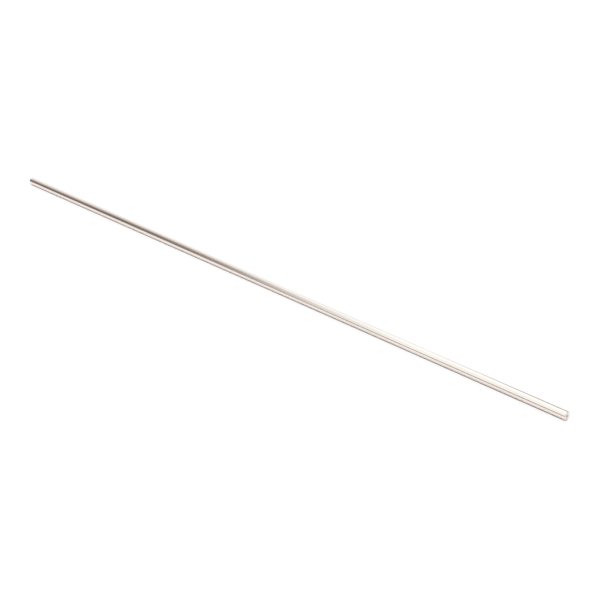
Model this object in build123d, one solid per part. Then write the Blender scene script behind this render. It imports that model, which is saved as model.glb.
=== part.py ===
from build123d import *
import os

# A plain gauge pin: one hardened steel cylinder, ground and lapped to its gauging size from end to
# end. It is handled loose or gripped in a collet, and its free end is tried in the hole being
# measured. Both ends are lapped square to the axis, and a small round break takes the sharp edge
# off each rim, so that the pin enters a hole of its own size without scoring it.
#
# Millimetres. The pin lies along X, with the origin on its axis at mid-length, and +Z is up.

# --- driving dimensions ---
GAUGE_DIAMETER = 0.635   # the size that the pin gauges, 0.025 in
PIN_LENGTH = 50.8        # over both end faces, 2 in
EDGE_BREAK = 0.06        # radius of the rounded rim at each end

# --- a size that follows ---
gauge_radius = GAUGE_DIAMETER / 2


def half_section():
    """The half of the pin's lengthways section above its axis, with both rims rounded."""
    face = Plane.XZ * Rectangle(PIN_LENGTH, gauge_radius, align=(Align.CENTER, Align.MIN))
    rims = face.vertices().group_by(Axis.Z)[-1]
    return fillet(rims, EDGE_BREAK)


def gauge_pin():
    """The whole pin, turned from its half section about the gauging axis."""
    return revolve(half_section(), Axis.X)


os.makedirs("parts", exist_ok=True)
export_step(gauge_pin(), "parts/gauge_pin.step")
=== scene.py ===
"""Looks and studio for the gauge pin: a bright ground steel pin lying on a white table.

Metres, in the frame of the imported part: the pin's axis is X, the end nearer to the camera is at +X,
and +Z is up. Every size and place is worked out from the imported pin's own box.
"""

import math

import bmesh
import bpy
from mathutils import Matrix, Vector


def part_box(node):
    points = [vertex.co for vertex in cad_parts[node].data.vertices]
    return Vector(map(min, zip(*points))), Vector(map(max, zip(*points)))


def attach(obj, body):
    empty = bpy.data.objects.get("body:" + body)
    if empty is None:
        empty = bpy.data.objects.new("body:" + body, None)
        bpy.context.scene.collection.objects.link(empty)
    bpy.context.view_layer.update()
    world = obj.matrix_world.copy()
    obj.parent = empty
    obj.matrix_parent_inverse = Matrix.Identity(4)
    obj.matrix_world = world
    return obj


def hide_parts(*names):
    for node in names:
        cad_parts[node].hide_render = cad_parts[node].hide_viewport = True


NODE = "gauge_pin"

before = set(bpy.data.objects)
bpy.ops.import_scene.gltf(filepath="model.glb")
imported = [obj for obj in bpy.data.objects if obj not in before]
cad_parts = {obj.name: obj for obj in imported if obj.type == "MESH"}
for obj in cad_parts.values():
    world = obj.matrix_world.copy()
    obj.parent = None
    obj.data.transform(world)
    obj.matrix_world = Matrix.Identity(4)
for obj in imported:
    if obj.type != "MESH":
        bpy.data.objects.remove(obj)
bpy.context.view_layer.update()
low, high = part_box(NODE)
CENTRE = (low + high) / 2
LENGTH = high.x - low.x
RADIUS = (high.z - low.z) / 2
TABLE_Z = low.z

# Camera: where it stands round the pin's middle, and the point near the axis that it looks at.
CAMERA_AZIMUTH = math.radians(43.343)    # from straight in front (-Y) towards the pin's +X end
CAMERA_ELEVATION = math.radians(29.388)
CAMERA_DISTANCE = 1.766 * LENGTH
AIM_ALONG = 0.08046 * LENGTH
AIM_UP = -0.2862 * RADIUS
FOCAL_LENGTH = 75.216    # millimetres, as is the sensor's width
SENSOR_WIDTH = 36.0
CLIP_START = LENGTH / 50
CLIP_END = LENGTH * 100

# Pin mesh
EDGE_BREAK = 0.00006     # radius of the rounded rim at each end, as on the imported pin
SEGMENTS_ROUND = 128
SEGMENTS_EDGE = 12       # down the round of one rim
STATIONS = 64            # along the straight part

# Steel colours: the cylinder, its duller patches and the lapped end faces, and a painted reflection of
# shade on the near face
STEEL = (0.86, 0.809, 0.752, 1)
STEEL_DULL = (0.82, 0.772, 0.716, 1)
STEEL_END = (0.82, 0.77, 0.72, 1)
# painted reflection: the colour of a dark spot standing in for the shaded table mirrored in the near
# face
PAINTED_REFLECTION_DARK = (0.22, 0.17, 0.14, 1)

# Fine marks left round the pin by grinding
GRIND_MARKS = (0.00004, 0.0008)    # how long a mark is along the pin, and how long around it
GRIND_DETAIL = 2.0
GRIND_SPREAD = (0.3, 0.7)          # the part of the noise that runs from the least to the most rough
GRIND_DEPTH = 0.0000002
ROUGHNESS = (0.10, 0.14)
END_ROUGHER = 0.05                 # added on the end faces
END_STARTS = LENGTH / 2 - EDGE_BREAK / 3    # where the rim begins to look like the end face
ANISOTROPY = 0.8
ANISOTROPY_TURN = 0.25             # a quarter turn: reflections are drawn out along the pin

# Duller patches of the steel
DULL_PATCHES = (0.006, 0.0015)     # their length along the pin, and their width around it
DULL_DETAIL = 3.0
DULL_SPREAD = (0.35, 0.65)

# Painted reflection on the near face, a dark spot standing in for the shaded table that the face
# mirrors: sizes in radii, measured from the face's centre towards +Y and +Z
SPOT_MIDDLE = (-0.22, 0.21)
SPOT_HALF = (0.50, 0.24)           # half its length and half its width
SPOT_TILT = math.radians(-23.4)
SPOT_DEPTH = 3 * EDGE_BREAK        # how far back from the face it may reach, over the rim
SPOT_EDGE = (0.4, 1.3)             # shares of its half size: dark inside the first, gone at the second

# Table and world: a white floor that keeps a light shadow, and the light from all round
TABLE_SIZE = LENGTH * 60
TABLE_SEEN = (0.13, 0.13, 0.13, 1)        # what the camera sees of its lit colour, on top of its glow
TABLE_GLOW = 0.93
TABLE_MIRRORED = (1.12, 1.05, 1.08, 1)    # what the steel mirrors
TABLE_COLOUR = (0.15, 0.15, 0.15, 1)      # what light bounces off
WORLD_LIGHT = (0.42, 0.40, 0.34, 1)
WORLD_MIRRORED = 1.0

# Lamp and tent: angles, in degrees at the pin, run from the table in front (0), over the top, to the
# table behind (180).

# Lamp over the pin, between two of these angles
LAMP_FROM = 75
LAMP_TO = 135
LAMP_LEVEL = 1.31                  # how bright its face is, where 1 is white
LAMP_HEIGHT = 0.3
LAMP_LENGTH = 1.2
LAMP_COLOUR = (0.97, 1.0, 1.08)

# Light tent: a half round of cloth over the pin with dark cards and panels, which only mirrors see.
# A pair of values is a soft edge, from where a change starts to where it is whole. Places along the
# tent are metres from the pin's middle, and a dark share of 1 is TENT_DARK.
TENT_RADIUS = 0.4
TENT_REACH = 2.4
TENT_ANGLE_STEP = 2
TENT_STATIONS = 120                # on each side of the middle
TENT_FRONT = (1.16, 1.17, 1.17)
TENT_TOP = (1.25, 1.30, 1.35)
TENT_BACK = (1.05, 1.07, 1.08)
TENT_WARM = (1.0, 0.93, 0.90)      # in front and overhead, beyond PANEL_EDGE
TENT_DARK = (0.18, 0.15, 0.143)
TOP_FROM = (80, 95)
TOP_TO = (118, 140)

# Dark strips low along the front and along the back
STRIP_DARK = 0.78
FRONT_LOW = (1, 4)
FRONT_HIGH = (19, 23)
BACK_LOW = (3, 6)                  # counted up from the table behind
BACK_HIGH = (32, 38)
BACK_END = (0.148, 0.185)          # where the back strip stops

# Dark cards on both sides, left out between CARD_STOPS and CARD_RESUMES
CARD_DARK = 0.75
CARD_LOW = (22, 30)
CARD_HIGH = (48, 60)
CARD_STOPS = (0.05, 0.09)
CARD_RESUMES = (0.6, 0.75)

# Broad dark panel in front, beyond PANEL_EDGE
PANEL_EDGE = (0.226, 0.35)
PANEL_LOW = (8, 19)
PANEL_TOP = (43, 124)
PANEL_LIFT = 7.5                   # how far the panel and the front strip rise beyond PANEL_EDGE
PANEL_FALL = 12                    # how far the panel's top comes down beyond PANEL_SHORT
PANEL_SHORT = (0.38, 0.43)


def make_camera():
    """The camera at the photo's angle, above and in front of the pin's +X end."""
    stand = Vector((
        math.sin(CAMERA_AZIMUTH) * math.cos(CAMERA_ELEVATION),
        -math.cos(CAMERA_AZIMUTH) * math.cos(CAMERA_ELEVATION),
        math.sin(CAMERA_ELEVATION),
    ))
    camera = bpy.data.objects.new("camera", bpy.data.cameras.new("camera"))
    camera.data.sensor_width = SENSOR_WIDTH
    camera.data.lens = FOCAL_LENGTH
    camera.data.clip_start = CLIP_START
    camera.data.clip_end = CLIP_END
    camera.location = CENTRE + stand * CAMERA_DISTANCE
    aim = CENTRE + Vector((AIM_ALONG, 0, AIM_UP))
    camera.rotation_euler = (aim - camera.location).to_track_quat("-Z", "Y").to_euler()
    bpy.context.scene.collection.objects.link(camera)
    bpy.context.scene.camera = camera


def node(tree, kind, **settings):
    """A shader node with its settings; a value for an input is given as inputs={name: value}."""
    made = tree.nodes.new(kind)
    for name, value in settings.pop("inputs", {}).items():
        made.inputs[name].default_value = value
    for name, value in settings.items():
        setattr(made, name, value)
    return made


def fresh_material(name):
    """A material with an empty node tree, and that tree."""
    material = bpy.data.materials.new(name)
    material.use_nodes = True
    material.node_tree.nodes.clear()
    return material, material.node_tree


def half_profile():
    """(x, radius, normal) down one half of the pin, from the middle to the centre of the end face."""
    half = LENGTH / 2
    rows = []
    for i in range(STATIONS // 2 + 1):
        rows.append(((half - EDGE_BREAK) * i / (STATIONS // 2), RADIUS, (0.0, 1.0)))
    for i in range(1, SEGMENTS_EDGE + 1):
        turn = math.pi / 2 * i / SEGMENTS_EDGE
        rows.append((
            half - EDGE_BREAK + EDGE_BREAK * math.sin(turn),
            RADIUS - EDGE_BREAK + EDGE_BREAK * math.cos(turn),
            (math.sin(turn), math.cos(turn)),
        ))
    rows.append((half, (RADIUS - EDGE_BREAK) / 2, (1.0, 0.0)))
    return rows


def make_pin():
    """The pin: its profile turned round X, with exact normals on the rounds and the flat ends."""
    half = half_profile()
    profile = [(-x, r, (-n[0], n[1])) for x, r, n in reversed(half[1:])] + half
    mesh = bpy.data.meshes.new("ground_pin")
    bm = bmesh.new()
    rings, normals = [], []
    for x, r, n in profile:
        ring = []
        for i in range(SEGMENTS_ROUND):
            a = 2 * math.pi * i / SEGMENTS_ROUND
            ring.append(bm.verts.new((x, r * math.cos(a), r * math.sin(a))))
            normals.append((n[0], n[1] * math.cos(a), n[1] * math.sin(a)))
        rings.append(ring)
    for a, b in zip(rings, rings[1:]):
        for i in range(SEGMENTS_ROUND):
            j = (i + 1) % SEGMENTS_ROUND
            bm.faces.new((a[i], a[j], b[j], b[i]))
    for ring, side in ((rings[0], -1), (rings[-1], 1)):
        tip = bm.verts.new((side * LENGTH / 2, 0, 0))
        normals.append((side, 0, 0))
        for i in range(SEGMENTS_ROUND):
            j = (i + 1) % SEGMENTS_ROUND
            bm.faces.new((ring[i], ring[j], tip) if side > 0 else (ring[j], ring[i], tip))
    bmesh.ops.recalc_face_normals(bm, faces=bm.faces)
    for face in bm.faces:
        face.smooth = True
    bm.to_mesh(mesh)
    bm.free()
    mesh.normals_split_custom_set_from_vertices(normals)
    pin = bpy.data.objects.new("ground_pin", mesh)
    pin.location = CENTRE
    bpy.context.scene.collection.objects.link(pin)
    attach(pin, "root")
    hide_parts(NODE)
    return pin


def grain(tree, place, along, around, detail):
    """Noise from 0 to 1 whose specks are so long along the pin and so wide around it."""
    stretch = node(tree, "ShaderNodeMapping", inputs={"Scale": (1 / along, 1 / around, 1 / around)})
    noise = node(tree, "ShaderNodeTexNoise", inputs={"Scale": 1.0, "Detail": detail})
    tree.links.new(place, stretch.inputs["Vector"])
    tree.links.new(stretch.outputs[0], noise.inputs["Vector"])
    return noise.outputs[0]


def span(tree, value, start, end, first, last):
    """The value carried from the range start..end to the range first..last, and held at its ends."""
    carried = node(tree, "ShaderNodeMapRange", inputs={
        "From Min": start, "From Max": end, "To Min": first, "To Max": last,
    })
    tree.links.new(value, carried.inputs["Value"])
    return carried.outputs[0]


def either(tree, share, first, second):
    """A mix of two colours, each given as a value or as a socket: the second where the share is 1."""
    mix = node(tree, "ShaderNodeMix", data_type="RGBA")
    tree.links.new(share, mix.inputs[0])
    for socket, source in ((mix.inputs[6], first), (mix.inputs[7], second)):
        if isinstance(source, bpy.types.NodeSocket):
            tree.links.new(source, socket)
        else:
            socket.default_value = source
    return mix.outputs[2]


def painted_reflection_spot(tree, place):
    """1 on the small dark spot of painted reflection on the near end face, and 0 elsewhere."""
    onto = node(tree, "ShaderNodeMapping", vector_type="TEXTURE", inputs={
        "Location": (LENGTH / 2, SPOT_MIDDLE[0] * RADIUS, SPOT_MIDDLE[1] * RADIUS),
        "Rotation": (SPOT_TILT, 0, 0),
        "Scale": (SPOT_DEPTH, SPOT_HALF[0] * RADIUS, SPOT_HALF[1] * RADIUS),
    })
    away = node(tree, "ShaderNodeVectorMath", operation="LENGTH")
    tree.links.new(place, onto.inputs["Vector"])
    tree.links.new(onto.outputs[0], away.inputs[0])
    return span(tree, away.outputs["Value"], *SPOT_EDGE, 1.0, 0.0)


def steel_material():
    """Ground steel with fine marks round the pin, broad dull patches and lapped ends, and a dark spot
    of painted reflection on the near face.
    """
    material, tree = fresh_material("ground_steel")
    out = node(tree, "ShaderNodeOutputMaterial")
    shader = node(tree, "ShaderNodeBsdfPrincipled", inputs={
        "Metallic": 1.0, "Anisotropic": ANISOTROPY, "Anisotropic Rotation": ANISOTROPY_TURN,
    })
    place = node(tree, "ShaderNodeTexCoord").outputs["Object"]
    axes = node(tree, "ShaderNodeSeparateXYZ")
    tree.links.new(place, axes.inputs[0])
    reach = node(tree, "ShaderNodeMath", operation="ABSOLUTE")
    tree.links.new(axes.outputs["X"], reach.inputs[0])

    marks = grain(tree, place, *GRIND_MARKS, GRIND_DETAIL)
    patches = grain(tree, place, *DULL_PATCHES, DULL_DETAIL)
    on_end = span(tree, reach.outputs[0], END_STARTS, LENGTH / 2, 0.0, 1.0)

    colour = either(tree, span(tree, patches, *DULL_SPREAD, 0.0, 1.0), STEEL, STEEL_DULL)
    colour = either(tree, on_end, colour, STEEL_END)
    # painted reflection: a dark spot on the near face standing in for the shaded table that it mirrors
    colour = either(tree, painted_reflection_spot(tree, place), colour, PAINTED_REFLECTION_DARK)
    tree.links.new(colour, shader.inputs["Base Color"])

    rough = node(tree, "ShaderNodeMath", operation="ADD")
    tree.links.new(span(tree, marks, *GRIND_SPREAD, *ROUGHNESS), rough.inputs[0])
    tree.links.new(span(tree, on_end, 0.0, 1.0, 0.0, END_ROUGHER), rough.inputs[1])
    tree.links.new(rough.outputs[0], shader.inputs["Roughness"])

    bump = node(tree, "ShaderNodeBump", inputs={"Strength": 1.0, "Distance": GRIND_DEPTH})
    tree.links.new(marks, bump.inputs["Height"])
    tree.links.new(bump.outputs[0], shader.inputs["Normal"])
    tangent = node(tree, "ShaderNodeTangent", direction_type="RADIAL", axis="X")
    tree.links.new(tangent.outputs["Tangent"], shader.inputs["Tangent"])
    tree.links.new(shader.outputs[0], out.inputs["Surface"])
    return material


def mirror_ray(tree):
    """1 for a ray from metal or glass that has met nothing matt on its way, and 0 for any other."""
    path = node(tree, "ShaderNodeLightPath")
    mirror = node(tree, "ShaderNodeMath", operation="MAXIMUM")
    tree.links.new(path.outputs["Is Glossy Ray"], mirror.inputs[0])
    tree.links.new(path.outputs["Is Transmission Ray"], mirror.inputs[1])
    direct = node(tree, "ShaderNodeMath", operation="SUBTRACT", use_clamp=True)
    tree.links.new(mirror.outputs[0], direct.inputs[0])
    tree.links.new(path.outputs["Diffuse Depth"], direct.inputs[1])
    return direct.outputs[0]


def by_ray(tree, seen, mirrored, other):
    """The colour seen by the camera, the one mirrored by metal and glass, or the other one."""
    path = node(tree, "ShaderNodeLightPath")
    unseen = either(tree, mirror_ray(tree), other, mirrored)
    return either(tree, path.outputs["Is Camera Ray"], unseen, seen)


def grey(level):
    """An opaque grey colour."""
    return (level, level, level, 1)


def make_table():
    """The white floor that the pin lies on."""
    mesh = bpy.data.meshes.new("table")
    bm = bmesh.new()
    bmesh.ops.create_grid(bm, x_segments=1, y_segments=1, size=TABLE_SIZE)
    bm.to_mesh(mesh)
    bm.free()
    table = bpy.data.objects.new("table", mesh)
    table.location = (CENTRE.x, CENTRE.y, TABLE_Z)
    bpy.context.scene.collection.objects.link(table)
    material, tree = fresh_material("white_table")
    out = node(tree, "ShaderNodeOutputMaterial")
    diffuse = node(tree, "ShaderNodeBsdfDiffuse")
    glow = node(tree, "ShaderNodeEmission")
    both = node(tree, "ShaderNodeAddShader")
    tree.links.new(by_ray(tree, TABLE_SEEN, TABLE_MIRRORED, TABLE_COLOUR), diffuse.inputs["Color"])
    tree.links.new(by_ray(tree, grey(TABLE_GLOW), grey(0.0), grey(0.0)), glow.inputs["Color"])
    tree.links.new(diffuse.outputs[0], both.inputs[0])
    tree.links.new(glow.outputs[0], both.inputs[1])
    tree.links.new(both.outputs[0], out.inputs["Surface"])
    mesh.materials.append(material)


def make_world():
    """White to the camera and in mirrors, and a dim even light on everything."""
    world = bpy.data.worlds.new("studio")
    world.use_nodes = True
    tree = world.node_tree
    tree.nodes.clear()
    out = node(tree, "ShaderNodeOutputWorld")
    back = node(tree, "ShaderNodeBackground")
    tree.links.new(by_ray(tree, grey(1.0), grey(WORLD_MIRRORED), WORLD_LIGHT), back.inputs["Color"])
    tree.links.new(back.outputs[0], out.inputs["Surface"])
    bpy.context.scene.world = world


def make_lamp():
    """A flat lamp over the pin, which metal and glass don't mirror: they see the tent there."""
    y0, y1 = (-LAMP_HEIGHT / math.tan(math.radians(a)) for a in (LAMP_FROM, LAMP_TO))
    lamp = bpy.data.lights.new("top_softbox", "AREA")
    lamp.shape = "RECTANGLE"
    lamp.size, lamp.size_y = LAMP_LENGTH, y1 - y0
    lamp.energy = LAMP_LEVEL * math.pi * lamp.size * lamp.size_y
    lamp.color = LAMP_COLOUR
    box = bpy.data.objects.new("top_softbox", lamp)
    box.location = CENTRE + Vector((0, (y0 + y1) / 2, LAMP_HEIGHT))
    box.visible_glossy = box.visible_transmission = False
    bpy.context.scene.collection.objects.link(box)


def blend(edge, value):
    """0 below the first edge, 1 above the second, and smooth between."""
    t = min(1.0, max(0.0, (value - edge[0]) / (edge[1] - edge[0])))
    return t * t * (3 - 2 * t)


def between(low_edge, high_edge, value):
    """1 from the low edge to the high edge, which don't overlap, and 0 outside them."""
    return blend(low_edge, value) * (1 - blend(high_edge, value))


def mixed(first, second, share):
    """A colour between two: the second where the share is 1."""
    return [(1 - share) * a + share * b for a, b in zip(first, second)]


def tent_colour(angle, x):
    """The tent's colour at an angle over the pin and a place along it.

    The tent is the same turned half round, so the +X half takes its colours from the other one.
    """
    if x > 0:
        angle, x = 180 - angle, -x
    far = -x
    behind = 180 - angle
    panel_share = blend(PANEL_EDGE, far)

    cloth = mixed(TENT_FRONT, TENT_TOP, blend(TOP_FROM, angle))
    cloth = mixed(cloth, TENT_WARM, panel_share)
    cloth = mixed(cloth, TENT_BACK, blend(TOP_TO, angle))

    lowered = angle - PANEL_LIFT * panel_share
    front = between(FRONT_LOW, FRONT_HIGH, lowered)
    back = between(BACK_LOW, BACK_HIGH, behind) * (1 - blend(BACK_END, far))
    fall = PANEL_FALL * blend(PANEL_SHORT, far)
    panel = panel_share * blend(PANEL_LOW, lowered) * (1 - blend(PANEL_TOP, lowered + fall))
    cards = between(CARD_LOW, CARD_HIGH, min(angle, behind))
    cards *= 1 - between(CARD_STOPS, CARD_RESUMES, far)

    bright = (1 - STRIP_DARK * max(front, back)) * (1 - panel) * (1 - CARD_DARK * cards)
    return mixed(cloth, TENT_DARK, 1 - bright)


def make_tent():
    """The light tent, a grid of vertices that each carry their colour."""
    mesh = bpy.data.meshes.new("light_tent")
    bm = bmesh.new()
    shade = bm.verts.layers.float_color.new("shade")
    rows = []
    for angle in range(0, 181, TENT_ANGLE_STEP):
        y = -TENT_RADIUS * math.cos(math.radians(angle))
        z = TENT_RADIUS * math.sin(math.radians(angle))
        row = []
        for k in range(-TENT_STATIONS, TENT_STATIONS + 1):
            x = TENT_REACH * k / TENT_STATIONS
            vert = bm.verts.new(CENTRE + Vector((x, y, z)))
            vert[shade] = (*tent_colour(angle, x), 1)
            row.append(vert)
        rows.append(row)
    for a, b in zip(rows, rows[1:]):
        for k in range(len(a) - 1):
            bm.faces.new((a[k], a[k + 1], b[k + 1], b[k]))
    bm.to_mesh(mesh)
    bm.free()
    tent = bpy.data.objects.new("light_tent", mesh)
    bpy.context.scene.collection.objects.link(tent)
    material, tree = fresh_material("tent_cloth")
    out = node(tree, "ShaderNodeOutputMaterial")
    colour = node(tree, "ShaderNodeAttribute", attribute_name="shade")
    glow = node(tree, "ShaderNodeEmission")
    tree.links.new(colour.outputs["Color"], glow.inputs["Color"])
    tree.links.new(mirror_ray(tree), glow.inputs["Strength"])
    tree.links.new(glow.outputs[0], out.inputs["Surface"])
    mesh.materials.append(material)
    tent.visible_camera = tent.visible_diffuse = tent.visible_shadow = False


bpy.context.scene.view_settings.view_transform = "Standard"
make_camera()
pin = make_pin()
pin.data.materials.append(steel_material())
make_table()
make_world()
make_lamp()
make_tent()
